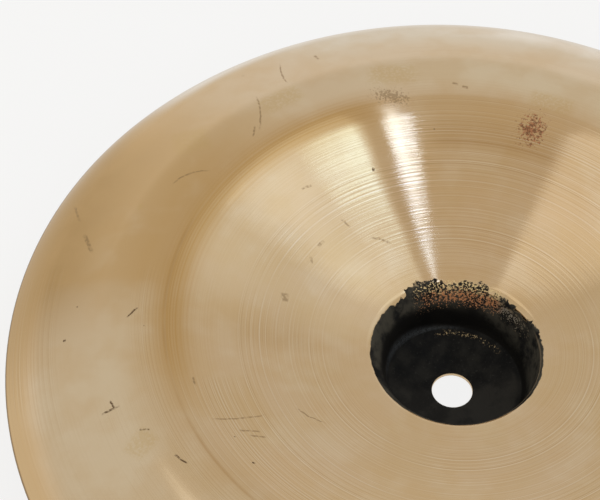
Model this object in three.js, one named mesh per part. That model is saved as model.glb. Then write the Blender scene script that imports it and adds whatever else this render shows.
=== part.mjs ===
// A china cymbal: one bronze disc, cast, hammered and lathed, with nothing else fastened to it.
// From the centre out it has a hole, a steep-sided cup, a dished bow, a rounded fold, a straight
// flange that turns back to the cup's side, and a rim that curls further down. The axis is +Z. The
// cup's crown stands on the plane z = 0, and the dish opens upwards.

import * as THREE from "three";

// Driving dimensions, in millimetres. Diameters and heights are those of the inside face, which looks
// up, and heights are measured from that face beside the hole. The flare is how far the cup's wall
// leans out on its way from the crown to the mouth. The flange runs from the fold's crest to the
// edge, and the rim is its outer part: their widths are level, and their drops end at the edge.
const overallDiameter = 457;
const flangeWidth = 64.5;
const rimWidth = 20.5;
const mouthDiameter = 87;
const wallFlare = 7.5;
const seatDiameter = 32;
const holeDiameter = 21.3;
const crownRise = 8;
const mouthHeight = 35;
const foldHeight = 69.3;
const flangeDrop = 32.9;
const rimDrop = 18.5;

// Bend radii of the inside face. The fold is blunter on the bow's side than on the flange's.
const crownRadius = 3.5;
const mouthRadius = 5;
const bowFoldRadius = 78;
const flangeFoldRadius = 41;

// The sheet thins from the cup to the edge.
const cupThickness = 1.9;
const foldThickness = 0.9;
const edgeThickness = 0.65;

// Slopes of the inside face, in degrees above the horizontal, going outwards.
const crownSlope = 32;
const wallFootSlope = 80;
const wallTopSlope = 62;
const bowFootSlope = 12;
const bowTopSlope = 21;
const flangeTopSlope = -22;
const rimSlope = -24;
const edgeSlope = -55;

// Steps along each stretch of the section, and round the axis.
const bendSteps = 3;
const wallSteps = 2;
const bowSteps = 5;
const foldSteps = 3;
const flangeSteps = 2;
const rimSteps = 4;
const turnSteps = 64;

// Distances from the axis, and the edge's height, which follow from the sizes above.
const holeRadius = holeDiameter / 2;
const seatRadius = seatDiameter / 2;
const mouthReach = mouthDiameter / 2;
const edgeReach = overallDiameter / 2;
const foldReach = edgeReach - flangeWidth;
const rimReach = edgeReach - rimWidth;
const edgeHeight = foldHeight - flangeDrop;

// A slope in degrees as a unit direction in the section, where x is the distance from the axis.
function heading(slope) {
  const angle = THREE.MathUtils.degToRad(slope);
  return new THREE.Vector2(Math.cos(angle), Math.sin(angle));
}

// A smooth stretch between two points, leaving along one slope and arriving along another.
function stretch(from, to, leaving, arriving) {
  const handle = from.distanceTo(to) / 3;
  const first = from.clone().addScaledVector(heading(leaving), handle);
  const second = to.clone().addScaledVector(heading(arriving), -handle);
  return new THREE.CubicBezierCurve(from, first, second, to);
}

// The ends of a bend that rounds off the corner where two slopes meet.
function bend(corner, leaving, arriving, radius) {
  const halfTurn = THREE.MathUtils.degToRad(Math.abs(arriving - leaving)) / 2;
  const setBack = radius * Math.tan(halfTurn);
  return {
    start: corner.clone().addScaledVector(heading(leaving), -setBack),
    end: corner.clone().addScaledVector(heading(arriving), setBack),
  };
}

// A point on one of the fold's two arcs, where the sheet has the slope given.
function onFold(slope, radius) {
  const direction = heading(slope);
  return new THREE.Vector2(
    foldReach - radius * direction.y,
    foldHeight - radius * (1 - direction.x),
  );
}

// The inside face in section, from the hole to the edge: each stretch with its number of steps.
function insideFace() {
  const hole = new THREE.Vector2(holeRadius, 0);
  const seat = new THREE.Vector2(seatRadius, 0);
  const crown = bend(
    new THREE.Vector2(mouthReach - wallFlare, crownRise),
    crownSlope,
    wallFootSlope,
    crownRadius,
  );
  const mouth = bend(
    new THREE.Vector2(mouthReach, mouthHeight),
    wallTopSlope,
    bowFootSlope,
    mouthRadius,
  );
  const foldStart = onFold(bowTopSlope, bowFoldRadius);
  const foldTop = new THREE.Vector2(foldReach, foldHeight);
  const foldEnd = onFold(flangeTopSlope, flangeFoldRadius);
  const rim = new THREE.Vector2(rimReach, edgeHeight + rimDrop);
  const edge = new THREE.Vector2(edgeReach, edgeHeight);
  return [
    [new THREE.LineCurve(hole, seat), 1],
    [stretch(seat, crown.start, 0, crownSlope), bendSteps],
    [stretch(crown.start, crown.end, crownSlope, wallFootSlope), bendSteps],
    [stretch(crown.end, mouth.start, wallFootSlope, wallTopSlope), wallSteps],
    [stretch(mouth.start, mouth.end, wallTopSlope, bowFootSlope), bendSteps],
    [stretch(mouth.end, foldStart, bowFootSlope, bowTopSlope), bowSteps],
    [stretch(foldStart, foldTop, bowTopSlope, 0), foldSteps],
    [stretch(foldTop, foldEnd, 0, flangeTopSlope), foldSteps],
    [stretch(foldEnd, rim, flangeTopSlope, rimSlope), flangeSteps],
    [stretch(rim, edge, rimSlope, edgeSlope), rimSteps],
  ];
}

// The sheet's thickness at a distance from the axis.
function thicknessAt(radius) {
  const beyondFold = radius > foldReach;
  const inner = beyondFold ? foldReach : mouthReach;
  const outer = beyondFold ? edgeReach : foldReach;
  const share = THREE.MathUtils.clamp((radius - inner) / (outer - inner), 0, 1);
  return beyondFold
    ? THREE.MathUtils.lerp(foldThickness, edgeThickness, share)
    : THREE.MathUtils.lerp(cupThickness, foldThickness, share);
}

// The closed section of the sheet: out along the outside face, round the edge, and back inside.
function section() {
  const inside = [];
  const outside = [];
  insideFace().forEach(([curve, steps], stretchIndex) => {
    for (let step = stretchIndex === 0 ? 0 : 1; step <= steps; step += 1) {
      const point = curve.getPoint(step / steps);
      const tangent = curve.getTangent(step / steps);
      const outwards = new THREE.Vector2(tangent.y, -tangent.x);
      point.y += cupThickness;
      inside.push(point);
      outside.push(point.clone().addScaledVector(outwards, thicknessAt(point.x)));
    }
  });
  return [...outside, ...inside.reverse(), outside[0].clone()];
}

const geometry = new THREE.LatheGeometry(section(), turnSteps);
geometry.rotateX(Math.PI / 2);

const bronze = new THREE.MeshStandardMaterial({
  color: 0xbf9f6c,
  roughness: 0.32,
  metalness: 1,
});

const cymbal = new THREE.Mesh(geometry, bronze);
cymbal.name = "cymbal";

const part = new THREE.Group();
part.add(cymbal);

export default part;
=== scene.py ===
"""The look of a china cymbal: one hammered and lathed bronze disc, on a pale floor in soft studio light."""

import logging
import math
from dataclasses import dataclass, field
from enum import Enum
from functools import reduce

import bmesh
import bpy
from mathutils import Euler, Matrix, Vector, noise


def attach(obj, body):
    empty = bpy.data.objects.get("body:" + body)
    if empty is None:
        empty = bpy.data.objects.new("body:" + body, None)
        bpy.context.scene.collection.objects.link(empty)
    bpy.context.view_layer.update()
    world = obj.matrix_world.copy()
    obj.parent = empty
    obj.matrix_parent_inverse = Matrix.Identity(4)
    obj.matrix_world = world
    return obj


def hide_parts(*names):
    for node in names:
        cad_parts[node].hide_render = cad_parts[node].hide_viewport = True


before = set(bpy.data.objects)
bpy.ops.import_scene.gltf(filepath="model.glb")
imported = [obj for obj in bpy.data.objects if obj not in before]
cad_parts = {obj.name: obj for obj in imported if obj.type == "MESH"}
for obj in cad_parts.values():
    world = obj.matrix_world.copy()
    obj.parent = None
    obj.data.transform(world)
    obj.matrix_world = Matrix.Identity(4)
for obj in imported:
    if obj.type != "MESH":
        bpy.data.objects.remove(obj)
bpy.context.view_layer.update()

log = logging.getLogger("cymbal")

Colour = tuple[float, float, float]
Node = bpy.types.Node
Socket = bpy.types.NodeSocket
Tree = bpy.types.NodeTree
Thing = bpy.types.Object

FULL_TURN = 2 * math.pi

# What a place is multiplied by to leave its level part.
LEVEL = (1, 1, 0)

# How far noise that is drawn out round the axis moves on for a unit of direction, in metres.
ROUND_STEP = 0.09


class Face(Enum):
    """The two faces of the sheet, with the index of the material that each one wears."""

    INSIDE = 0
    OUTSIDE = 1


class Along(Enum):
    """How noise is laid over a face: evenly, drawn out round the axis, or in rings."""

    FACE = "face"
    ROUND = "round"
    RINGS = "rings"


class Mark(Enum):
    """What a mark on the bronze is, which sets its colour."""

    SCRATCH = "scratch"
    PIT = "pit"
    STAIN = "stain"


def heading(slope: float) -> Vector:
    """Gives a slope in degrees as a unit direction in the section, where x is the distance from the axis."""
    angle = math.radians(slope)
    return Vector((math.cos(angle), math.sin(angle)))


def put_in_scene(name: str, data: bpy.types.ID) -> Thing:
    """Makes an object that carries a mesh, a lamp or a camera."""
    made = bpy.data.objects.new(name, data)
    bpy.context.scene.collection.objects.link(made)
    return made


def smooth_share(value: float, low: float, high: float) -> float:
    """Gives 0 below low, 1 above high and a smooth rise between them."""
    share = min(max((value - low) / (high - low), 0.0), 1.0)
    return share * share * (3 - 2 * share)


@dataclass(frozen=True)
class Stretch:
    """One smooth stretch of the section, from a point and slope to a point and slope."""

    start: Vector
    end: Vector
    leaving: float
    arriving: float

    def station(self, share: float) -> tuple[Vector, Vector]:
        """Gives the point at a share of the way along, from 0 to 1, and the sheet's unit direction there."""
        handle = (self.end - self.start).length / 3
        first = self.start + handle * heading(self.leaving)
        second = self.end - handle * heading(self.arriving)
        rest = 1 - share
        point = (
            rest**3 * self.start
            + 3 * rest**2 * share * first
            + 3 * rest * share**2 * second
            + share**3 * self.end
        )
        direction = (
            rest**2 * (first - self.start)
            + 2 * rest * share * (second - first)
            + share**2 * (self.end - second)
        )
        return point, direction.normalized()


@dataclass(frozen=True)
class Section:
    """The section of the sheet, in metres: x is the distance from the axis and y the height."""

    overall_diameter: float = 0.457
    flange_width: float = 0.0645
    rim_width: float = 0.0205
    mouth_diameter: float = 0.087
    wall_flare: float = 0.0075
    seat_diameter: float = 0.032
    hole_diameter: float = 0.0213
    crown_rise: float = 0.008
    mouth_height: float = 0.035
    fold_height: float = 0.0693
    flange_drop: float = 0.0329
    rim_drop: float = 0.0185
    crown_radius: float = 0.0035
    mouth_radius: float = 0.005
    bow_fold_radius: float = 0.078
    flange_fold_radius: float = 0.041
    cup_thickness: float = 0.0019
    fold_thickness: float = 0.0009
    edge_thickness: float = 0.00065
    crown_slope: float = 32.0
    wall_foot_slope: float = 80.0
    wall_top_slope: float = 62.0
    bow_foot_slope: float = 12.0
    bow_top_slope: float = 21.0
    flange_top_slope: float = -22.0
    rim_slope: float = -24.0
    edge_slope: float = -55.0

    @property
    def edge_reach(self) -> float:
        """The edge's distance from the axis."""
        return self.overall_diameter / 2

    @property
    def fold_reach(self) -> float:
        """The fold's crest's distance from the axis."""
        return self.edge_reach - self.flange_width

    @property
    def mouth_reach(self) -> float:
        """The mouth's distance from the axis."""
        return self.mouth_diameter / 2

    def bend(self, corner: Vector, leaving: float, arriving: float, radius: float) -> Stretch:
        """Gives the stretch that rounds off the corner where the slope leaving meets the one arriving."""
        set_back = radius * math.tan(math.radians(abs(arriving - leaving)) / 2)
        start = corner - set_back * heading(leaving)
        end = corner + set_back * heading(arriving)
        return Stretch(start, end, leaving, arriving)

    def on_fold(self, slope: float, radius: float) -> Vector:
        """Gives the point of one of the fold's two arcs where the sheet has the slope given."""
        direction = heading(slope)
        return Vector((
            self.fold_reach - radius * direction.y,
            self.fold_height - radius * (1 - direction.x),
        ))

    def inside_stretches(self) -> list[Stretch]:
        """Lists the stretches of the inside face, from the hole out to the edge."""
        hole = Vector((self.hole_diameter / 2, 0))
        seat = Vector((self.seat_diameter / 2, 0))
        crown_corner = Vector((self.mouth_reach - self.wall_flare, self.crown_rise))
        crown = self.bend(crown_corner, self.crown_slope, self.wall_foot_slope, self.crown_radius)
        mouth_corner = Vector((self.mouth_reach, self.mouth_height))
        mouth = self.bend(mouth_corner, self.wall_top_slope, self.bow_foot_slope, self.mouth_radius)
        fold_start = self.on_fold(self.bow_top_slope, self.bow_fold_radius)
        fold_top = Vector((self.fold_reach, self.fold_height))
        fold_end = self.on_fold(self.flange_top_slope, self.flange_fold_radius)
        edge = Vector((self.edge_reach, self.fold_height - self.flange_drop))
        rim = edge + Vector((-self.rim_width, self.rim_drop))
        return [
            Stretch(hole, seat, 0, 0),
            Stretch(seat, crown.start, 0, self.crown_slope),
            crown,
            Stretch(crown.end, mouth.start, self.wall_foot_slope, self.wall_top_slope),
            mouth,
            Stretch(mouth.end, fold_start, self.bow_foot_slope, self.bow_top_slope),
            Stretch(fold_start, fold_top, self.bow_top_slope, 0),
            Stretch(fold_top, fold_end, 0, self.flange_top_slope),
            Stretch(fold_end, rim, self.flange_top_slope, self.rim_slope),
            Stretch(rim, edge, self.rim_slope, self.edge_slope),
        ]

    def thickness(self, reach: float) -> float:
        """Gives the sheet's thickness at a distance from the axis."""
        if reach > self.fold_reach:
            share = (reach - self.fold_reach) / (self.edge_reach - self.fold_reach)
            return self.fold_thickness + share * (self.edge_thickness - self.fold_thickness)
        share = max((reach - self.mouth_reach) / (self.fold_reach - self.mouth_reach), 0)
        return self.cup_thickness + share * (self.fold_thickness - self.cup_thickness)

    def stations(self, spacing: float, least_steps: int) -> list[tuple[Vector, Vector]]:
        """Lists places along the inside face.

        Args:
            spacing: The distance from one place to the next.
            least_steps: The fewest steps on any stretch.

        Returns:
            Each place with the direction of the sheet there, from the hole to the edge.
        """
        places = []
        for stretch in self.inside_stretches():
            length = (stretch.end - stretch.start).length
            steps = max(least_steps, round(length / spacing))
            first = 1 if places else 0
            places += [stretch.station(step / steps) for step in range(first, steps + 1)]
        lift = Vector((0, self.cup_thickness))
        return [(point + lift, direction) for point, direction in places]


class Sketch:
    """Lays shader nodes in one tree and joins them."""

    def __init__(self, tree: Tree) -> None:
        """Starts on a tree with its nodes cleared."""
        self.tree = tree
        tree.nodes.clear()

    def feed(self, socket: Socket, value: object) -> None:
        """Joins a socket to another one, or gives it a value."""
        if isinstance(value, Socket):
            self.tree.links.new(value, socket)
        elif isinstance(value, (tuple, Vector)) and socket.type == "RGBA":
            socket.default_value = (*value, 1)
        else:
            socket.default_value = value

    def node(self, kind: str, settings: dict | None = None, **inputs: object) -> Node:
        """Adds a node.

        Args:
            kind: The node's type name.
            settings: The node's own options.
            **inputs: A value or a socket for each named input, with _ for a space.

        Returns:
            The node.
        """
        made = self.tree.nodes.new(kind)
        for name, value in (settings or {}).items():
            setattr(made, name, value)
        for name, value in inputs.items():
            self.feed(made.inputs[name.replace("_", " ")], value)
        return made

    def math(self, operation: str, *values: object) -> Socket:
        """Works out a number from numbers."""
        made = self.node("ShaderNodeMath", {"operation": operation})
        for socket, value in zip(made.inputs, values):
            self.feed(socket, value)
        return made.outputs[0]

    def product(self, *values: object) -> Socket:
        """Multiplies any count of numbers."""
        return reduce(lambda first, second: self.math("MULTIPLY", first, second), values)

    def total(self, *values: object) -> Socket:
        """Adds any count of numbers."""
        return reduce(lambda first, second: self.math("ADD", first, second), values)

    def rest(self, share: object) -> Socket:
        """Gives what a share leaves of 1."""
        return self.math("SUBTRACT", 1.0, share)

    def vector(self, operation: str, *values: object) -> Socket:
        """Works out a vector from vectors, or its length."""
        made = self.node("ShaderNodeVectorMath", {"operation": operation})
        for socket, value in zip(made.inputs, values):
            self.feed(socket, value)
        wanted = "Value" if operation in ("LENGTH", "DOT_PRODUCT") else "Vector"
        return made.outputs[wanted]

    def scaled(self, value: Socket, scale: object) -> Socket:
        """Multiplies a vector by a number."""
        return self.node("ShaderNodeVectorMath", {"operation": "SCALE"}, Vector=value, Scale=scale).outputs[0]

    def rise(self, value: Socket, low: float, high: float, start: float = 0.0, end: float = 1.0) -> Socket:
        """Maps a number smoothly: start comes out at low, and end at high."""
        made = self.node("ShaderNodeMapRange", {"interpolation_type": "SMOOTHSTEP"}, Value=value)
        for socket, amount in zip(made.inputs[1:5], (low, high, start, end)):
            self.feed(socket, amount)
        return made.outputs[0]

    def hump(self, value: Socket, centre: object, half_width: object) -> Socket:
        """Gives 1 where a number is at the centre, falling to 0 at half a width from it."""
        away = self.math("ABSOLUTE", self.math("SUBTRACT", value, centre))
        share = self.math("DIVIDE", away, half_width)
        return self.rise(share, 1.0, 0.0)

    def mix(self, kind: str, first_slot: int, *values: object) -> Node:
        """Mixes two values by a share. The mix node keeps a pair of slots for each kind of value."""
        made = self.node("ShaderNodeMix", {"data_type": kind})
        for slot, value in zip((0, first_slot, first_slot + 1), values):
            self.feed(made.inputs[slot], value)
        return made

    def blend(self, share: object, low: object, high: object) -> Socket:
        """Mixes two colours."""
        return self.mix("RGBA", 6, share, low, high).outputs[2]

    def between(self, share: object, low: object, high: object) -> Socket:
        """Mixes two numbers."""
        return self.mix("FLOAT", 2, share, low, high).outputs[0]

    def grain(self, place: Socket, scale: float, detail: float = 2.0, roughness: float = 0.5) -> Socket:
        """Gives noise from 0 to 1 over a place."""
        made = self.node(
            "ShaderNodeTexNoise", None, Vector=place, Scale=scale, Detail=detail, Roughness=roughness
        )
        return made.outputs[0]

    def lines(self, value: Socket, detail: float, roughness: float) -> Socket:
        """Gives noise from 0 to 1 along one number."""
        made = self.node(
            "ShaderNodeTexNoise", {"noise_dimensions": "1D"},
            W=value, Scale=1.0, Detail=detail, Roughness=roughness,
        )
        return made.outputs[0]

    def group(self, tree: Tree, **inputs: object) -> Node:
        """Places a node group and feeds it."""
        made = self.tree.nodes.new("ShaderNodeGroup")
        made.node_tree = tree
        for name, value in inputs.items():
            self.feed(made.inputs[name.replace("_", " ")], value)
        return made


class GroupSketch(Sketch):
    """Lays out a node group with named inputs and outputs."""

    def __init__(self, name: str, inputs: dict[str, str], outputs: dict[str, str]) -> None:
        """Makes the group, with the type of each input and output, such as Float, Vector or Color."""
        super().__init__(bpy.data.node_groups.new(name, "ShaderNodeTree"))
        for direction, sockets in (("INPUT", inputs), ("OUTPUT", outputs)):
            for label, kind in sockets.items():
                self.tree.interface.new_socket(label, in_out=direction, socket_type="NodeSocket" + kind)
        self.inputs = self.tree.nodes.new("NodeGroupInput").outputs
        self.outputs = self.tree.nodes.new("NodeGroupOutput").inputs

    def give(self, **values: object) -> None:
        """Feeds the group's outputs."""
        for name, value in values.items():
            self.feed(self.outputs[name.replace("_", " ")], value)

    def from_centre(self) -> Socket:
        """Gives the way to the place from the centre that the inputs X and Y state."""
        centre = self.node("ShaderNodeCombineXYZ", None, X=self.inputs["X"], Y=self.inputs["Y"])
        return self.vector("SUBTRACT", self.inputs["Place"], centre.outputs[0])


def ring_place_group() -> Tree:
    """Makes the group that turns a place into a distance from the axis and a direction round it."""
    sketch = GroupSketch("ring place", {"Place": "Vector"}, {"Reach": "Float", "Round": "Vector"})
    flat = sketch.vector("MULTIPLY", sketch.inputs["Place"], LEVEL)
    sketch.give(Reach=sketch.vector("LENGTH", flat), Round=sketch.vector("NORMALIZE", flat))
    return sketch.tree


def lobe_group() -> Tree:
    """Makes the group that gives 1 on one side of the axis, falling to 0 at a spread of degrees from it."""
    inputs = {"Round": "Vector", "Turn": "Float", "Spread": "Float"}
    sketch = GroupSketch("lobe", inputs, {"Mask": "Float"})
    turn = sketch.math("RADIANS", sketch.inputs["Turn"])
    across, ahead = sketch.math("COSINE", turn), sketch.math("SINE", turn)
    aim = sketch.node("ShaderNodeCombineXYZ", None, X=across, Y=ahead)
    off = sketch.vector("DOT_PRODUCT", sketch.inputs["Round"], aim.outputs[0])
    limit = sketch.math("COSINE", sketch.math("RADIANS", sketch.inputs["Spread"]))
    share = sketch.math("DIVIDE", sketch.math("SUBTRACT", off, limit), sketch.rest(limit))
    sketch.give(Mask=sketch.rise(share, 0.0, 1.0))
    return sketch.tree


def turning_lines_group() -> Tree:
    """Makes the group for the fine rings that the lathe tool leaves, bunched and fading as they go round."""
    uneven_rate, hair_rate, bunch_rate = 0.35, 2.9, 0.13
    unevenness, wave_share, least_gain = 1.1, 0.45, 0.6
    middle = 0.5
    inputs = {"Place": "Vector", "Reach": "Float", "Pitch": "Float", "Amount": "Float"}
    outputs = {"Height": "Float", "Line": "Float", "Gleam": "Float"}
    sketch = GroupSketch("turning lines", inputs, outputs)
    step = sketch.math("DIVIDE", sketch.inputs["Reach"], sketch.inputs["Pitch"])
    uneven = sketch.product(sketch.lines(sketch.product(step, uneven_rate), 2.0, 0.6), unevenness)
    wave = sketch.math("SINE", sketch.product(sketch.total(step, uneven), FULL_TURN))
    hair = sketch.lines(sketch.product(step, hair_rate), 2.0, 0.6)
    fine = sketch.math("SUBTRACT", hair, middle)
    bunch = sketch.rise(sketch.lines(sketch.product(step, bunch_rate), 1.0, 0.5), 0.38, 0.58, 0.5, 1.0)
    fade = sketch.rise(sketch.grain(sketch.inputs["Place"], 15.0), 0.34, 0.56, 0.2, 1.0)
    cut = sketch.rise(sketch.inputs["Reach"], 0.048, 0.064, 0.3, 1.0)
    gain = sketch.product(bunch, fade, cut, sketch.inputs["Amount"])
    rough = sketch.product(fine, sketch.total(gain, least_gain))
    height = sketch.total(sketch.product(wave, gain, wave_share), rough)
    # The Line and Gleam masks become the rings' painted dark reflection and painted highlight in the colour.
    crest = sketch.product(sketch.rise(wave, 0.7, 1.0), 0.6)
    crest = sketch.math("MAXIMUM", crest, sketch.rise(hair, 0.57, 0.66))
    gleam = sketch.product(sketch.rise(hair, 0.43, 0.34), gain)
    sketch.give(Height=height, Line=sketch.product(crest, gain), Gleam=gleam)
    return sketch.tree


def scratch_group() -> Tree:
    """Makes the group that adds one mark, a thin and slightly bowed stroke or a spot, to a mask of marks."""
    inputs = dict.fromkeys(("Marks", "Ripple", "X", "Y", "Lie", "Length", "Width", "Bow"), "Float")
    sketch = GroupSketch("scratch", inputs | {"Place": "Vector"}, {"Marks": "Float"})
    angle = sketch.product(sketch.math("RADIANS", sketch.inputs["Lie"]), -1.0)
    turned = sketch.node(
        "ShaderNodeVectorRotate", {"rotation_type": "Z_AXIS"}, Vector=sketch.from_centre(), Angle=angle
    )
    parts = sketch.node("ShaderNodeSeparateXYZ", None, Vector=turned.outputs[0]).outputs
    along = sketch.math("DIVIDE", parts[0], sketch.product(sketch.inputs["Length"], 0.5))
    bowed = sketch.product(along, along, sketch.inputs["Bow"])
    across = sketch.total(sketch.math("SUBTRACT", parts[1], bowed), sketch.inputs["Ripple"])
    off = sketch.math("DIVIDE", sketch.math("ABSOLUTE", across), sketch.inputs["Width"])
    thin = sketch.rise(off, 0.6, 0.25)
    ends = sketch.rise(sketch.math("ABSOLUTE", along), 1.0, 0.55)
    sketch.give(Marks=sketch.math("MAXIMUM", sketch.inputs["Marks"], sketch.product(thin, ends)))
    return sketch.tree


def fleck_group() -> Tree:
    """Makes the group for sparse small specks of uneven size."""
    inputs = {"Place": "Vector", "Scale": "Float", "Size": "Float", "Share": "Float"}
    sketch = GroupSketch("flecks", inputs, {"Mask": "Float"})
    place, scale = sketch.inputs["Place"], sketch.inputs["Scale"]
    cells = sketch.node("ShaderNodeTexVoronoi", None, Vector=place, Scale=scale)
    pick = sketch.node("ShaderNodeSeparateColor", None, Color=cells.outputs["Color"])
    chosen = sketch.math("LESS_THAN", pick.outputs[0], sketch.inputs["Share"])
    size = sketch.product(sketch.inputs["Size"], sketch.rise(pick.outputs[1], 0.0, 1.0, 0.3, 1.0))
    share = sketch.math("DIVIDE", cells.outputs["Distance"], size)
    sketch.give(Mask=sketch.product(sketch.rise(share, 1.0, 0.5), chosen))
    return sketch.tree


def cluster_group() -> Tree:
    """Makes the group for a patch of broken speckle, dense in its middle."""
    density = 0.25
    inputs = dict.fromkeys(("X", "Y", "Half Width", "Half Height", "Grain"), "Float")
    sketch = GroupSketch("speckle patch", inputs | {"Place": "Vector"}, {"Mask": "Float"})
    width, height = sketch.inputs["Half Width"], sketch.inputs["Half Height"]
    size = sketch.node("ShaderNodeCombineXYZ", None, X=width, Y=height, Z=1.0)
    away = sketch.vector("MULTIPLY", sketch.from_centre(), LEVEL)
    span = sketch.vector("LENGTH", sketch.vector("DIVIDE", away, size.outputs[0]))
    dense = sketch.rise(span, 1.0, 0.0)
    speckle = sketch.grain(sketch.inputs["Place"], sketch.inputs["Grain"], 3.0, 0.7)
    level = sketch.total(speckle, sketch.product(dense, density))
    sketch.give(Mask=sketch.product(sketch.rise(level, 0.62, 0.72), sketch.rise(dense, 0.0, 0.15)))
    return sketch.tree


def fire_scale_group() -> Tree:
    """Makes the group for the black scale that the forge leaves on metal that was never lathed."""
    inputs = {"Place": "Vector", "Deep": "Color", "Dusty": "Color", "Grey": "Color"}
    outputs = {"Colour": "Color", "Roughness": "Float", "Height": "Float"}
    sketch = GroupSketch("fire scale", inputs, outputs)
    place = sketch.inputs["Place"]
    patch = sketch.rise(sketch.grain(place, 55.0, 4.0, 0.6), 0.42, 0.66)
    grit = sketch.grain(place, 900.0, 3.0, 0.7)
    colour = sketch.blend(patch, sketch.inputs["Deep"], sketch.inputs["Dusty"])
    colour = sketch.blend(sketch.rise(grit, 0.6, 0.76), colour, sketch.inputs["Grey"])
    sketch.give(Colour=colour, Roughness=sketch.rise(patch, 0.0, 1.0, 0.5, 0.72), Height=grit)
    return sketch.tree


@dataclass(frozen=True)
class Groups:
    """The shared shader groups, each made once."""

    ring_place: Tree = field(default_factory=ring_place_group)
    lobe: Tree = field(default_factory=lobe_group)
    turning_lines: Tree = field(default_factory=turning_lines_group)
    scratch: Tree = field(default_factory=scratch_group)
    flecks: Tree = field(default_factory=fleck_group)
    cluster: Tree = field(default_factory=cluster_group)
    fire_scale: Tree = field(default_factory=fire_scale_group)


@dataclass(frozen=True)
class Wear:
    """One mark on the inside face: its place as a distance from the axis and an angle from +X."""

    reach: float
    turn: float
    length: float
    width: float
    lie: float = 0.0
    bow: float = 0.0

    @property
    def place(self) -> tuple[float, float]:
        """The mark's place across the disc."""
        angle = math.radians(self.turn)
        return self.reach * math.cos(angle), self.reach * math.sin(angle)


MARKS = {
    Mark.SCRATCH: (
        Wear(0.167, 136, 0.029, 0.0011, lie=103, bow=0.0015),
        Wear(0.158, 140, 0.008, 0.0012, lie=95),
        Wear(0.189, 127, 0.024, 0.0011, lie=109, bow=-0.0012),
        Wear(0.164, 156, 0.024, 0.001, lie=36, bow=-0.003),
        Wear(0.195, 174, 0.017, 0.0022, lie=119),
        Wear(0.21, 168, 0.016, 0.0012, lie=116),
        Wear(0.123, 216, 0.03, 0.001, lie=28, bow=0.001),
        Wear(0.089, 221, 0.018, 0.0009, lie=163, bow=-0.0012),
        Wear(0.122, 220, 0.012, 0.0011, lie=18),
        Wear(0.12, 222, 0.009, 0.0011, lie=14),
        Wear(0.137, 205, 0.006, 0.0012, lie=117),
        Wear(0.154, 97, 0.004, 0.0018, lie=-20),
        Wear(0.152, 95, 0.004, 0.0018, lie=-10),
        Wear(0.194, 120, 0.006, 0.0016, lie=120),
        Wear(0.091, 173, 0.006, 0.004, lie=100),
        Wear(0.091, 148, 0.006, 0.002, lie=60),
        Wear(0.089, 155, 0.005, 0.0016, lie=110),
        Wear(0.092, 136, 0.007, 0.0012, lie=150),
        Wear(0.118, 139, 0.007, 0.0014, lie=40),
        Wear(0.076, 128, 0.012, 0.0014, lie=177, bow=0.001),
    ),
    Mark.PIT: (
        Wear(0.18, 207, 0.01, 0.0013, lie=26),
        Wear(0.1785, 206.3, 0.007, 0.0011, lie=128),
        Wear(0.163, 189, 0.009, 0.001, lie=60),
        Wear(0.197, 192, 0.0018, 0.0016),
        Wear(0.169, 213, 0.006, 0.001, lie=10),
        Wear(0.161, 221, 0.009, 0.0012, lie=150),
        Wear(0.132, 228, 0.002, 0.0014),
        Wear(0.112, 120, 0.0018, 0.0016),
    ),
    Mark.STAIN: (
        Wear(0.176, 166, 0.004, 0.004),
        Wear(0.179, 149, 0.024, 0.022, lie=20),
        Wear(0.173, 215, 0.018, 0.013, lie=60),
        Wear(0.163, 109, 0.034, 0.015, lie=12),
        Wear(0.151, 77, 0.03, 0.012, lie=-12),
        Wear(0.168, 131, 0.03, 0.014, lie=40),
    ),
}


@dataclass(frozen=True)
class Side:
    """A mask of one side of the axis: 1 where it is turned to, falling to 0 at its spread of degrees.

    Where full is set, the mask is mapped once more: from least, at low, to most, at full.
    """

    turn: float
    spread: float
    low: float = 0.0
    full: float = 0.0
    least: float = 0.0
    most: float = 1.0


@dataclass(frozen=True)
class Ramp:
    """A mask that rises from one number to another, such as two distances from the axis."""

    low: float
    high: float
    least: float = 0.0
    most: float = 1.0


@dataclass(frozen=True)
class Hump:
    """A mask that is 1 at a number and 0 from half a width off it."""

    centre: float
    half_width: float


@dataclass(frozen=True)
class Cloud:
    """A mask of noise: its scale and detail, the levels that it rises between, and how it is laid."""

    scale: float
    detail: float
    roughness: float
    levels: Ramp
    along: Along = Along.FACE


@dataclass(frozen=True)
class Tint:
    """One tint on the bronze: its colour and strength, and the masks that say where it lies."""

    colour: Colour
    strength: float
    ring: Ramp | Hump | None = None
    side: Side | None = None
    cloud: Cloud | None = None
    until: Side | None = None


@dataclass(frozen=True)
class Patch:
    """A patch of broken speckle: its place across the disc, its half sizes, how fine it is and how strong."""

    x: float
    y: float
    half_width: float
    half_height: float
    grain: float
    strength: float


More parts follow.
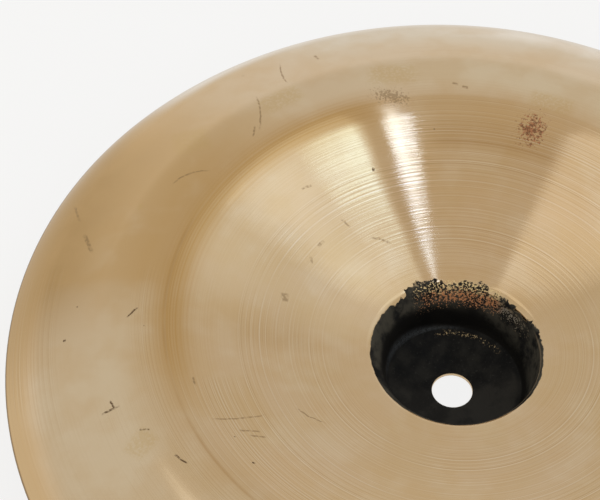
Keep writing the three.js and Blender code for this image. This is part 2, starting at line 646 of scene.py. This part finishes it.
@dataclass(frozen=True)
class BronzeFinish:
    """The bronze where the lathe has cut it bright.

    The roughness is an anisotropic one: the rings spread a highlight away from the axis, and the tangent
    that runs that way carries it.
    """

    plain: Colour = (0.61, 0.455, 0.275)
    pink: Colour = (0.65, 0.5, 0.345)
    golden: Colour = (0.59, 0.405, 0.205)
    umber: Colour = (0.43, 0.28, 0.125)
    glance: Colour = (0.86, 0.81, 0.74)
    # Used for painted reflection on the flange and the fold's crest, and for a faint random haze inside the
    # flange.
    pale: Colour = (0.72, 0.605, 0.45)
    painted_sheen: Colour = (0.74, 0.67, 0.56)
    # Painted highlight colour, for the far side of the flange and rim and for the rings' gleam.
    bright: Colour = (0.92, 0.865, 0.79)
    brown: Colour = (0.4, 0.23, 0.08)
    # Painted reflection colour: the darker band on the outer bow below the fold.
    fold: Colour = (0.5, 0.31, 0.12)
    dark: Colour = (0.12, 0.07, 0.035)
    rust: Colour = (0.4, 0.15, 0.075)
    clot: Colour = (0.15, 0.045, 0.02)
    scratch: Colour = (0.27, 0.18, 0.095)
    stain: Colour = (0.56, 0.4, 0.17)
    roughness: float = 0.098
    worn_roughness: float = 0.13
    stretch: float = 1.0
    line_pitch: float = 0.0022
    line_depth: float = 0.000015
    # How strongly the rings' painted dark reflection and painted highlight show in the colour.
    line_share: float = 0.38
    gleam_share: float = 0.24
    hammer_depth: float = 0.00001
    hammer_scale: float = 42.0
    fleck_scale: float = 110.0
    fleck_size: float = 0.075
    fleck_share: float = 0.1
    fleck_strength: float = 0.7
    fleck_dullness: float = 0.6
    pit_dullness: float = 0.7
    rust_dullness: float = 0.6
    cut_share: float = 0.22
    dark_band_share: float = 0.26
    # How strongly the darker band on the bow behind the cup shows.
    ripple_depth: float = 0.0012
    rust_patch: Patch = Patch(0.0252, 0.131, 0.0125, 0.015, 640.0, 0.8)
    smudge: Patch = Patch(-0.052, 0.139, 0.016, 0.008, 760.0, 0.55)

    def tints(self, edge: float) -> list[Tint]:
        """Lists the tints in the order in which they are laid: tone left by age and handling, and painted
        reflection and highlight.

        Args:
            edge: The edge's distance from the axis.

        Returns:
            The tints, with every distance in metres from the axis.
        """
        flange = Ramp(0.146, 0.149)
        drawn = Cloud(26.0, 3.0, 0.55, Ramp(0.35, 0.65), Along.ROUND)
        blotch = Cloud(34.0, 3.0, 0.55, Ramp(0.38, 0.66))
        haze = Cloud(27.0, 3.0, 0.6, Ramp(0.48, 0.66))
        threads = Cloud(900.0, 2.0, 0.6, Ramp(0.35, 0.65, 0.65, 1.0), Along.RINGS)
        return [
            Tint(self.pink, 0.55, cloud=drawn),
            # Partly the bronze's tone and partly painted reflection: the flange pinker on the far side and
            # golden on the left.
            Tint(self.pink, 0.85, flange, Side(95, 62)),
            Tint(self.golden, 0.8, Ramp(0.144, 0.162), Side(168, 48), until=Side(130, 56, 0.0, 0.07, 0.35)),
            # Painted reflection and painted highlight on the far side of the flange: pale, then a sheen, then
            # bright further out.
            Tint(self.pale, 0.45, flange, Side(95, 62, full=0.6)),
            Tint(self.painted_sheen, 0.8, Ramp(0.18, 0.206), Side(82, 50, full=0.5)),
            Tint(self.bright, 0.8, Ramp(0.196, 0.21), Side(72, 32)),
            # Painted reflection: a pale band over the fold's crest on the far side.
            Tint(self.pale, 1.0, Hump(0.161, 0.021), Side(80, 48)),
            # Partly the bronze's tone and partly painted reflection: the outer flange darker on the left and
            # lighter at the lower left.
            Tint(self.umber, 0.95, Ramp(0.175, 0.222), Side(174, 26)),
            Tint(self.pale, 0.8, Ramp(0.15, 0.178), Side(214, 34)),
            Tint(self.pale, 0.3, Ramp(0.2, 0.17), cloud=haze),
            Tint(self.golden, 0.3, cloud=blotch),
            # Painted reflection: a darker brown band on the outer bow below the fold, mostly on the left.
            Tint(self.fold, 1.0, Hump(0.144, 0.0145), Side(160, 62, 0.1, 0.8, 0.15, 0.95), threads),
            Tint(self.fold, 0.38, Hump(0.154, 0.024), Side(163, 30)),
            Tint(self.brown, 0.5, Hump(0.1475, 0.0016), Side(200, 44, full=0.4), drawn),
            # Painted reflection and painted highlight on the rim: golden at the lower left, darker on the
            # left and bright on the far side.
            Tint(self.golden, 0.9, Ramp(0.209, 0.224), Side(192, 50, full=0.7)),
            Tint(self.umber, 0.65, Ramp(0.205, 0.218), Side(174, 26)),
            Tint(self.bright, 1.0, Ramp(0.209, 0.219), Side(103, 50, full=0.6)),
            Tint(self.umber, 0.16, Hump(0.12, 0.026), Side(72, 32)),
            Tint(self.dark, 0.7, Ramp(edge - 0.001, edge - 0.0003)),
        ]


@dataclass(frozen=True)
class ScaleFinish:
    """The black scale in the cup, and where it stops."""

    deep: Colour = (0.005, 0.0058, 0.0072)
    dusty: Colour = (0.021, 0.0208, 0.02)
    grey: Colour = (0.05, 0.05, 0.048)
    # Painted shade colour for the foot of the cup's wall.
    dark_band: Colour = (0.0008, 0.0008, 0.001)
    # Painted highlight colour for the line along the crown's edge.
    painted_edge_highlight: Colour = (0.06, 0.068, 0.078)
    olive: Colour = (0.056, 0.053, 0.044)
    dust: Colour = (0.035, 0.0335, 0.031)
    copper: Colour = (0.64, 0.29, 0.14)
    gold: Colour = (0.78, 0.61, 0.33)
    chalk: Colour = (0.33, 0.3, 0.255)
    stop: float = 0.0442
    fade: float = 0.002
    softness: float = 0.00025
    hole_margin: float = 0.00005
    # How far the painted shade darkens the foot of the wall.
    foot_shade_share: float = 0.85
    bare_dullness: float = 0.9
    raggedness: float = 0.0095
    calm_share: float = 0.15
    notch_depth: float = 0.0032
    grit_depth: float = 0.00009
    gloss: float = 0.15


@dataclass
class FaceDress(Sketch):
    """Makes one face's material: lathed bronze, black scale and the marks of use.

    The colour and the metallic value are built up in layers, each laid over what is there.
    """

    face: Face
    section: Section
    groups: Groups
    bronze: BronzeFinish
    scale: ScaleFinish

    def __post_init__(self) -> None:
        """Makes the material, and finds the place, its distance from the axis and its direction round it."""
        self.material = bpy.data.materials.new(f"lathed_bronze_{self.face.name.lower()}")
        self.material.use_nodes = True
        super().__init__(self.material.node_tree)
        self.place = self.node("ShaderNodeTexCoord").outputs["Object"]
        ring = self.group(self.groups.ring_place, Place=self.place)
        self.reach, self.round = ring.outputs["Reach"], ring.outputs["Round"]
        self.colour: object = self.bronze.plain
        self.metal: object = 1.0

    def side(self, side: Side) -> Socket:
        """Makes the mask of one side of the axis."""
        lobe = self.group(self.groups.lobe, Round=self.round, Turn=side.turn, Spread=side.spread)
        if not side.full:
            return lobe.outputs[0]
        return self.rise(lobe.outputs[0], side.low, side.full, side.least, side.most)

    def over(self, value: Socket, mask: Ramp | Hump) -> Socket:
        """Makes a ramp's or a hump's mask over a number."""
        if isinstance(mask, Hump):
            return self.hump(value, mask.centre, mask.half_width)
        return self.rise(value, mask.low, mask.high, mask.least, mask.most)

    def ring(self, low: float, high: float, least: float = 0.0, most: float = 1.0) -> Socket:
        """Makes a mask that rises from one distance from the axis to another."""
        return self.rise(self.reach, low, high, least, most)

    def crest(self, centre: float, half_width: float) -> Socket:
        """Makes a mask that is 1 at a distance from the axis and 0 from half a width off it."""
        return self.hump(self.reach, centre, half_width)

    def cloud(self, cloud: Cloud) -> Socket:
        """Makes a mask of noise."""
        if cloud.along is Along.RINGS:
            rings = self.product(self.reach, cloud.scale)
            return self.over(self.lines(rings, cloud.detail, cloud.roughness), cloud.levels)
        place = self.place
        if cloud.along is Along.ROUND:
            lift = self.node("ShaderNodeCombineXYZ", None, Z=self.reach).outputs[0]
            place = self.vector("ADD", self.scaled(self.round, ROUND_STEP), lift)
        return self.over(self.grain(place, cloud.scale, cloud.detail, cloud.roughness), cloud.levels)

    def noise(self, scale: float, detail: float = 2.0, roughness: float = 0.5) -> Socket:
        """Gives noise from 0 to 1 over the face."""
        return self.grain(self.place, scale, detail, roughness)

    def lay(self, share: Socket, colour: object) -> None:
        """Lays a colour over what is there."""
        self.colour = self.blend(share, self.colour, colour)

    def dull(self, share: Socket) -> None:
        """Takes a share of the metallic value away."""
        self.metal = self.product(self.metal, self.rest(share))

    def add_tints(self) -> None:
        """Lays the tints, partly tone and partly painted reflection and highlight, and a darker band on the
        bow behind the cup.
        """
        for tint in self.bronze.tints(self.section.edge_reach):
            masks = [self.over(self.reach, tint.ring)] if tint.ring else []
            masks += [self.side(side) for side in (tint.side, tint.until) if side]
            masks += [self.cloud(tint.cloud)] if tint.cloud else []
            self.lay(self.product(*masks, tint.strength), tint.colour)
        # A darker brown band on the bow behind the cup, about 12 cm from the axis, laid as colour.
        behind = self.side(Side(87, 21, full=0.8))
        dark_band = self.total(self.crest(0.1215, 0.0022), self.crest(0.1255, 0.014))
        self.lay(self.product(dark_band, behind, self.bronze.dark_band_share), self.bronze.brown)

    def line_amount(self) -> tuple[Socket, Socket]:
        """Gives how strongly the turning lines show, and the patch where they are cut deepest."""
        smooth = self.product(self.side(Side(156, 53, full=0.12)), self.ring(0.106, 0.114))
        lower = self.side(Side(208, 34, full=0.3))
        outer = self.math("MAXIMUM", self.crest(0.156, 0.014), self.ring(0.198, 0.207))
        lower = self.product(lower, outer)
        kept = self.rise(smooth, 0.0, 1.0, 1.0, 0.2)
        amount = self.product(kept, self.ring(0.144, 0.15, 1.0, 0.28))
        amount = self.math("MAXIMUM", amount, lower)
        cut = self.product(self.side(Side(150, 50, full=0.3)), self.crest(0.09, 0.033))
        return self.product(amount, self.rise(cut, 0.0, 1.0, 1.0, 1.5)), cut

    def add_lines(self) -> Socket:
        """Lays the turning lines, as painted reflection and painted highlight in the colour, and the sparse
        specks, and gives the lines' height.
        """
        bronze = self.bronze
        amount, cut = self.line_amount()
        self.lay(self.product(cut, bronze.cut_share), bronze.umber)
        lines = self.group(
            self.groups.turning_lines, Place=self.place, Reach=self.reach,
            Pitch=bronze.line_pitch, Amount=amount,
        ).outputs
        # Painted reflection: the rings' dark lines, and inside the bow their gleam as painted highlight, over
        # the rings that the bump raises.
        self.lay(self.product(lines["Line"], bronze.line_share), bronze.umber)
        inner = self.ring(0.146, 0.134, 0.35)
        self.lay(self.product(lines["Gleam"], inner, bronze.gleam_share), bronze.bright)
        specks = self.group(
            self.groups.flecks, Place=self.place,
            Scale=bronze.fleck_scale, Size=bronze.fleck_size, Share=bronze.fleck_share,
        )
        dark = self.product(specks.outputs[0], bronze.fleck_strength)
        self.dull(self.product(dark, bronze.fleck_dullness))
        self.lay(dark, bronze.dark)
        return lines["Height"]

    def patch(self, patch: Patch) -> Socket:
        """Makes the mask of a patch of speckle."""
        return self.group(
            self.groups.cluster, Place=self.place, X=patch.x, Y=patch.y,
            Half_Width=patch.half_width, Half_Height=patch.half_height, Grain=patch.grain,
        ).outputs[0]

    def add_marks(self) -> None:
        """Lays the marks of use: scratches, pits, stains, the rust and the smudge of specks."""
        bronze = self.bronze
        tints = {
            Mark.SCRATCH: (bronze.scratch, 0.64),
            Mark.PIT: (bronze.dark, 0.95),
            Mark.STAIN: (bronze.stain, 0.32),
        }
        ripple = self.math("SUBTRACT", self.noise(260.0, 1.0), 0.5)
        ripple = self.product(ripple, bronze.ripple_depth)
        broken = self.rise(self.noise(700.0), 0.36, 0.56, 0.25)
        for kind, (tint, strength) in tints.items():
            total: object = 0.0
            for mark in MARKS[kind]:
                x, y = mark.place
                total = self.group(
                    self.groups.scratch, Marks=total, Place=self.place, Ripple=ripple, X=x, Y=y,
                    Lie=mark.lie, Length=mark.length, Width=mark.width, Bow=mark.bow,
                ).outputs[0]
            share = self.product(total, broken, strength)
            self.lay(share, tint)
            if kind is Mark.PIT:
                self.dull(self.product(share, bronze.pit_dullness))
        rust = self.patch(bronze.rust_patch)
        clot = self.rise(self.noise(820.0, 1.0), 0.42, 0.56)
        self.lay(self.product(rust, bronze.rust_patch.strength), self.blend(clot, bronze.rust, bronze.clot))
        self.lay(self.product(self.patch(bronze.smudge), bronze.smudge.strength), bronze.scratch)
        self.dull(self.product(rust, bronze.rust_dullness))

    def speckle(self) -> tuple[Socket, Socket]:
        """Gives where bare metal shows through the scale on the cup's wall, and its colour."""
        scale = self.scale
        height = self.node("ShaderNodeSeparateXYZ", None, Vector=self.place).outputs[2]
        ahead = self.side(Side(80, 54))
        lip = self.rise(height, 0.021, 0.034)
        grit = self.noise(950.0, 2.0, 0.7)
        girdle = self.product(self.hump(height, 0.0305, 0.007), 0.07)
        rubbed = self.total(self.product(lip, 0.1), girdle)
        level = self.total(grit, self.product(ahead, rubbed))
        upper = self.product(self.rise(ahead, 0.02, 0.2), self.rise(lip, 0.0, 0.2))
        mask = self.product(self.rise(level, 0.61, 0.67), upper)
        arc = self.product(self.crest(0.0326, 0.0018), self.rise(ahead, 0.55, 0.9))
        arc = self.product(arc, self.rise(grit, 0.56, 0.66))
        mask = self.math("MAXIMUM", mask, self.product(arc, 0.8))
        uneven = self.total(height, self.product(self.noise(700.0, 1.0), 0.01))
        colour = self.blend(self.rise(uneven, 0.037, 0.04), scale.copper, scale.gold)
        right = self.side(Side(18, 52, full=0.35))
        colour = self.blend(right, colour, scale.chalk)
        kept = self.product(right, self.rise(height, 0.031, 0.0335))
        mask = self.product(mask, self.rest(kept))
        return mask, self.blend(self.rise(arc, 0.0, 0.1), colour, scale.gold)

    def scale_mask(self) -> Socket:
        """Gives 1 where the black scale lies, with its ragged edge round the mouth."""
        scale = self.scale
        ragged = self.math("SUBTRACT", self.noise(190.0, 4.0, 0.6), 0.5)
        slow = self.math("SUBTRACT", self.noise(45.0), 0.5)
        calm = scale.calm_share * scale.raggedness
        amount = self.side(Side(85, 85, 0.0, 0.6, calm, scale.raggedness))
        wobble = self.product(self.total(ragged, slow), amount)
        notch = self.product(self.side(Side(119, 15, full=0.15)), scale.notch_depth)
        stop = self.total(wobble, notch, scale.stop)
        mask = self.rise(self.math("SUBTRACT", self.reach, stop), scale.softness, -scale.softness)
        hole = self.section.hole_diameter / 2 - scale.hole_margin
        return self.product(mask, self.ring(hole, hole + scale.softness))

    def scale_colour(self, crust: Node) -> Socket:
        """Gives the scale's colour: olive on the wall, dusty on the crown, with painted shade at the wall's
        foot and painted highlight on the crown's edge.
        """
        scale = self.scale
        # Painted shade: the foot of the wall, just above the crown's edge, darkened almost to black.
        foot = self.product(self.ring(0.0352, 0.036), self.ring(0.04, 0.0375))
        colour = self.blend(self.product(foot, scale.foot_shade_share), crust.outputs["Colour"], scale.dark_band)
        worn = self.math("MAXIMUM", self.side(Side(175, 105)), self.side(Side(25, 60)))
        cloud = self.cloud(Cloud(85.0, 4.0, 0.65, Ramp(0.4, 0.62)))
        wall = self.product(self.ring(0.0372, 0.0395), self.rise(worn, 0.0, 0.3), cloud)
        colour = self.blend(wall, colour, scale.olive)
        bottom = self.side(Side(-75, 125, full=0.35))
        patchy = self.rise(cloud, 0.0, 1.0, 0.35, 0.8)
        dust = self.product(self.ring(0.0345, 0.0325), bottom, patchy)
        colour = self.blend(dust, colour, scale.dust)
        # Painted highlight: a light grey-blue line along the crown's edge, where it turns up into the wall,
        # on the far left.
        step = self.product(self.crest(0.0349, 0.0009), self.side(Side(140, 60)))
        step = self.product(step, self.rise(crust.outputs["Height"], 0.3, 0.6))
        return self.blend(step, colour, scale.painted_edge_highlight)

    def add_scale(self) -> tuple[Socket, Node]:
        """Lays the black scale in the cup, and gives its mask and its node."""
        scale = self.scale
        crust = self.group(
            self.groups.fire_scale, Place=self.place, Deep=scale.deep, Dusty=scale.dusty, Grey=scale.grey
        )
        bare, bare_colour = self.speckle()
        black = self.scale_mask()
        lip = self.side(Side(-35, 70, full=0.4))
        rubbed = self.product(self.crest(0.0428, 0.0004), lip, 0.35)
        bare = self.math("MAXIMUM", bare, rubbed)
        black = self.product(black, self.rest(bare))
        bare = self.product(bare, self.ring(scale.stop + scale.fade, scale.stop))
        self.lay(bare, bare_colour)
        self.lay(black, self.scale_colour(crust))
        self.dull(black)
        self.dull(self.product(bare, scale.bare_dullness))
        return black, crust

    def build(self) -> bpy.types.Material:
        """Makes the material with every layer laid."""
        bronze, scale = self.bronze, self.scale
        self.add_tints()
        line_height = self.add_lines()
        if self.face is Face.INSIDE:
            self.add_marks()
        black, crust = self.add_scale()
        shine = self.ring(0.138, 0.15, bronze.roughness, bronze.worn_roughness)
        smear = self.rise(self.noise(60.0), 0.3, 0.7, -0.008, 0.012)
        rough = self.between(black, self.total(shine, smear), crust.outputs["Roughness"])
        lined = self.product(line_height, self.ring(0.04, 0.052), bronze.line_depth)
        hammered = self.product(self.noise(bronze.hammer_scale, 1.0), bronze.hammer_depth)
        gritty = self.product(crust.outputs["Height"], black, scale.grit_depth)
        height = self.total(lined, hammered, gritty)
        relief = self.node("ShaderNodeBump", None, Strength=1.0, Distance=1.0, Height=height)
        outward = self.vector("NORMALIZE", self.vector("MULTIPLY", self.place, LEVEL))
        shader = self.node(
            "ShaderNodeBsdfPrincipled", None, Base_Color=self.colour, Metallic=self.metal, Roughness=rough,
            Anisotropic=bronze.stretch, Tangent=outward, Normal=relief.outputs[0],
            Specular_IOR_Level=scale.gloss, Specular_Tint=bronze.glance,
        )
        self.node("ShaderNodeOutputMaterial", None, Surface=shader.outputs[0])
        return self.material


@dataclass
class CymbalDisc:
    """The one piece: the disc's mesh, which wears a material on each face."""

    section: Section
    groups: Groups
    bronze: BronzeFinish
    scale: ScaleFinish
    name: str = "cymbal_shell"
    turn_steps: int = 224
    inside_spacing: float = 0.00095
    outside_spacing: float = 0.0019
    round_steps: int = 4
    edge_bulge: float = 0.6
    hole_bulge: float = 0.1
    groove_depth: float = 0.00001
    groove_pitch: float = 0.0034
    dent_depth: float = 0.000026
    dent_size: float = 0.03
    small_dent_size: float = 0.0135
    small_dent_share: float = 0.4
    rim_warp: float = 0.0005
    crown_shift: float = 0.002
    wall_foot: Ramp = Ramp(0.018, 0.033)
    wall_top: Ramp = Ramp(0.0385, 0.0435)
    calm_reach: float = 0.02
    least_steps: int = 3
    merge_distance: float = 1e-6

    def groove(self, reach: float) -> float:
        """Gives how far a broad turning groove lies below the face, at a distance from the axis."""
        if reach < self.section.mouth_reach:
            return 0.0
        return self.groove_depth * noise.noise(Vector((reach / self.groove_pitch, 0, 0)))

    def outline(self) -> list[Vector]:
        """Lists the closed section: out along the outside face, round the edge, and back inside."""
        outside = []
        for point, direction in self.section.stations(self.outside_spacing, self.least_steps):
            out = Vector((direction.y, -direction.x))
            outside.append(point + self.section.thickness(point.x) * out)
        inside = []
        for point, direction in self.section.stations(self.inside_spacing, self.least_steps):
            inside.append(point + self.groove(point.x) * Vector((direction.y, -direction.x)))
        edge = self.rounding(outside[-1], inside[-1], self.edge_bulge)
        hole = self.rounding(inside[0], outside[0], self.hole_bulge)
        return outside + edge + inside[::-1] + hole

    def rounding(self, start: Vector, end: Vector, bulge: float) -> list[Vector]:
        """Lists the points of the flattened half round that closes the sheet between its two faces."""
        centre = (start + end) / 2
        arm = start - centre
        side = Vector((-arm.y, arm.x)) * bulge
        angles = [math.pi * step / self.round_steps for step in range(1, self.round_steps)]
        return [centre + arm * math.cos(angle) + side * math.sin(angle) for angle in angles]

    def dent(self, level: Vector) -> float:
        """Gives how high the hammered face stands over the level, as a share of the dents' depth."""
        broad = noise.noise(level / self.dent_size)
        small = noise.noise((level + Vector((0, 0, 0.3))) / self.small_dent_size)
        return broad + self.small_dent_share * small

    def beat(self, maker: bmesh.types.BMesh) -> None:
        """Moves the mesh as hammering and use have: dents, a rim out of true and a crown off centre."""
        mouth, edge = self.section.mouth_reach, self.section.edge_reach
        for vertex in maker.verts:
            level = Vector((vertex.co.x, vertex.co.y, 0))
            reach = level.length
            turn = math.atan2(level.y, level.x)
            spread = smooth_share(reach, mouth, mouth + self.calm_reach)
            warp = math.sin(2 * turn + 0.6) + 0.6 * math.sin(3 * turn + 2.1) + 0.3 * math.sin(5 * turn)
            vertex.co.z += spread * self.dent_depth * self.dent(level)
            vertex.co.z += self.rim_warp * warp * (reach / edge) ** 3
            foot = smooth_share(reach, self.wall_foot.low, self.wall_foot.high)
            top = smooth_share(reach, self.wall_top.low, self.wall_top.high)
            vertex.co.x += self.crown_shift * foot * (1 - top)

    def build(self) -> Thing:
        """Makes the disc, with a slot for each face's material."""
        maker = bmesh.new()
        ring = [maker.verts.new((point.x, 0, point.y)) for point in self.outline()]
        sides = [maker.edges.new(pair) for pair in zip(ring, ring[1:] + ring[:1])]
        bmesh.ops.spin(
            maker, geom=ring + sides, cent=(0, 0, 0), axis=(0, 0, 1),
            angle=FULL_TURN, steps=self.turn_steps, use_merge=True,
        )
        bmesh.ops.remove_doubles(maker, verts=maker.verts, dist=self.merge_distance)
        self.beat(maker)
        bmesh.ops.recalc_face_normals(maker, faces=maker.faces)
        for face in maker.faces:
            face.smooth = True
            face.material_index = (Face.INSIDE if face.normal.z > 0 else Face.OUTSIDE).value
        mesh = bpy.data.meshes.new(self.name)
        maker.to_mesh(mesh)
        maker.free()
        disc = put_in_scene(self.name, mesh)
        for face in Face:
            dress = FaceDress(face, self.section, self.groups, self.bronze, self.scale)
            mesh.materials.append(dress.build())
        return disc


@dataclass(frozen=True)
class Lamp:
    """A flat lamp far above the disc.

    Its two ends are given as directions from the disc, by their parts along +X and +Y, and its width as an
    angle across, in radians.
    """

    name: str
    start: tuple[float, float]
    end: tuple[float, float]
    width: float
    strength: float
    colour: Colour
    distance: float = 2.2

    def build(self) -> Thing:
        """Makes the lamp and aims it at the disc."""
        start, end = (
            Vector((x, y, math.sqrt(1 - x * x - y * y))) * self.distance for x, y in (self.start, self.end)
        )
        centre = (start + end) / 2
        back = centre.normalized()
        along = end - start
        length = along.length
        along = (along - along.dot(back) * back).normalized()
        light = bpy.data.lights.new(self.name, "AREA")
        light.shape = "RECTANGLE"
        light.size = length
        light.size_y = self.width * self.distance
        light.energy = self.strength * math.pi * light.size * light.size_y
        light.color = self.colour
        lamp = put_in_scene(self.name, light)
        axes = Matrix((along, back.cross(along), back)).transposed().to_4x4()
        lamp.matrix_world = Matrix.Translation(centre) @ axes
        lamp.visible_camera = False
        return lamp


@dataclass
class Studio:
    """The camera, the pale floor and the soft light."""

    mouth_plane: float = 0.0369
    camera_distance: float = 1.0219
    camera_elevation: float = 54.68
    yaw: float = 4.81
    pitch: float = 2.33
    roll: float = -7.08
    sensor_width: float = 36.0
    lens: float = 120.0
    floor_half: float = 12.0
    paper: float = 0.93
    shadow_share: float = 0.15
    lit_floor: float = 0.85
    low: Colour = (0.92, 0.9, 0.87)
    middle: Colour = (0.76, 0.72, 0.64)
    top: Colour = (0.735, 0.665, 0.555)
    glow: Colour = (0.96, 0.98, 0.98)
    glow_aim: tuple[float, float, float] = (0.5, 0.34, 0.797)

    def build_camera(self) -> None:
        """Makes the camera at the photograph's angle and distance."""
        elevation = math.radians(self.camera_elevation)
        back = Vector((0, -math.cos(elevation), math.sin(elevation)))
        right = Vector((1, 0, 0))
        ahead = -back
        rows = Matrix((right, right.cross(ahead), ahead))
        swing = Euler([math.radians(angle) for angle in (self.pitch, self.yaw, self.roll)], "XYZ")
        rows = swing.to_matrix() @ rows
        data = bpy.data.cameras.new("camera")
        data.sensor_width = self.sensor_width
        data.lens = self.lens
        camera = put_in_scene("camera", data)
        axes = Matrix((rows[0], rows[1], -rows[2])).transposed().to_4x4()
        place = back * self.camera_distance + Vector((0, 0, self.mouth_plane))
        camera.matrix_world = Matrix.Translation(place) @ axes
        bpy.context.scene.camera = camera

    def seen(self, sketch: Sketch) -> Socket:
        """Gives 1 for a ray from the camera, a mirror or glass, and 0 for one that gathers soft light."""
        path = sketch.node("ShaderNodeLightPath").outputs
        seen = sketch.math("MAXIMUM", path["Is Camera Ray"], path["Is Glossy Ray"])
        return sketch.math("MAXIMUM", seen, path["Is Transmission Ray"])

    def build_floor(self) -> None:
        """Makes the floor, which shows pale and takes a soft shadow."""
        maker = bmesh.new()
        bmesh.ops.create_grid(maker, x_segments=1, y_segments=1, size=self.floor_half)
        mesh = bpy.data.meshes.new("floor")
        maker.to_mesh(mesh)
        maker.free()
        floor = put_in_scene("floor", mesh)
        material = bpy.data.materials.new("pale_paper")
        material.use_nodes = True
        sketch = Sketch(material.node_tree)
        matt = sketch.node("ShaderNodeBsdfDiffuse", None, Color=(0.8, 0.8, 0.8))
        faint = sketch.node("ShaderNodeBsdfDiffuse", None, Color=(self.shadow_share,) * 3)
        strength = self.paper - self.lit_floor * self.shadow_share
        glow = sketch.node("ShaderNodeEmission", None, Color=(1.0, 1.0, 1.0), Strength=strength)
        shown = sketch.node("ShaderNodeAddShader")
        sketch.feed(shown.inputs[0], faint.outputs[0])
        sketch.feed(shown.inputs[1], glow.outputs[0])
        mix = sketch.node("ShaderNodeMixShader")
        for socket, value in zip(mix.inputs, (self.seen(sketch), matt.outputs[0], shown.outputs[0])):
            sketch.feed(socket, value)
        sketch.node("ShaderNodeOutputMaterial", None, Surface=mix.outputs[0])
        mesh.materials.append(material)

    def build_world(self) -> None:
        """Makes the soft light from all round: pale low down, and warmer and dimmer overhead."""
        world = bpy.data.worlds.new("studio")
        bpy.context.scene.world = world
        world.use_nodes = True
        sketch = Sketch(world.node_tree)
        towards = sketch.node("ShaderNodeTexCoord").outputs["Generated"]
        height = sketch.node("ShaderNodeSeparateXYZ", None, Vector=towards).outputs[2]
        colour = sketch.blend(sketch.rise(height, 0.15, 0.5), self.low, self.middle)
        colour = sketch.blend(sketch.rise(height, 0.8, 0.97), colour, self.top)
        nearness = sketch.vector("DOT_PRODUCT", towards, self.glow_aim)
        colour = sketch.blend(sketch.rise(nearness, 0.925, 1.0), colour, self.glow)
        camera = sketch.node("ShaderNodeLightPath").outputs["Is Camera Ray"]
        colour = sketch.blend(camera, colour, (self.paper,) * 3)
        background = sketch.node("ShaderNodeBackground", None, Color=colour, Strength=1.0)
        sketch.node("ShaderNodeOutputWorld", None, Surface=background.outputs[0])

    def build_lamps(self) -> list[Thing]:
        """Makes the soft panels overhead, and the bright strip in the gap between them."""
        lamps = [
            Lamp("strip", (0.168, 0.085), (0.104, 0.262), 0.017, 2.05, (0.44, 0.62, 1.0)),
            Lamp("strip_end", (0.1925, 0.01), (0.1655, 0.08), 0.06, 7.5, (0.42, 0.6, 1.0)),
            Lamp("right_panel", (0.385, 0.06), (0.228, 0.4), 0.27, 0.34, (0.72, 0.87, 1.0)),
            Lamp("right_end", (0.242, 0.105), (0.38, 0.15), 0.12, 2.15, (0.42, 0.7, 1.0)),
            Lamp("left_panel", (-0.305, 0.0), (-0.245, 0.3), 0.28, 0.38, (0.85, 0.92, 1.0)),
        ]
        return [lamp.build() for lamp in lamps]

    def build(self) -> None:
        """Makes the whole studio."""
        self.build_camera()
        self.build_floor()
        self.build_world()
        for lamp in self.build_lamps():
            log.info("lamp %s at %s", lamp.name, tuple(round(v, 3) for v in lamp.location))
        bpy.context.scene.view_settings.view_transform = "Standard"


def main() -> None:
    """Builds the studio and the disc, and ties the disc to the frame."""
    logging.basicConfig(level=logging.INFO, format="%(name)s: %(message)s")
    Studio().build()
    disc = CymbalDisc(Section(), Groups(), BronzeFinish(), ScaleFinish())
    shell = disc.build()
    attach(shell, "root")
    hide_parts("cymbal")
    log.info("%s: %d faces", shell.name, len(shell.data.polygons))


if __name__ == "__main__":
    main()
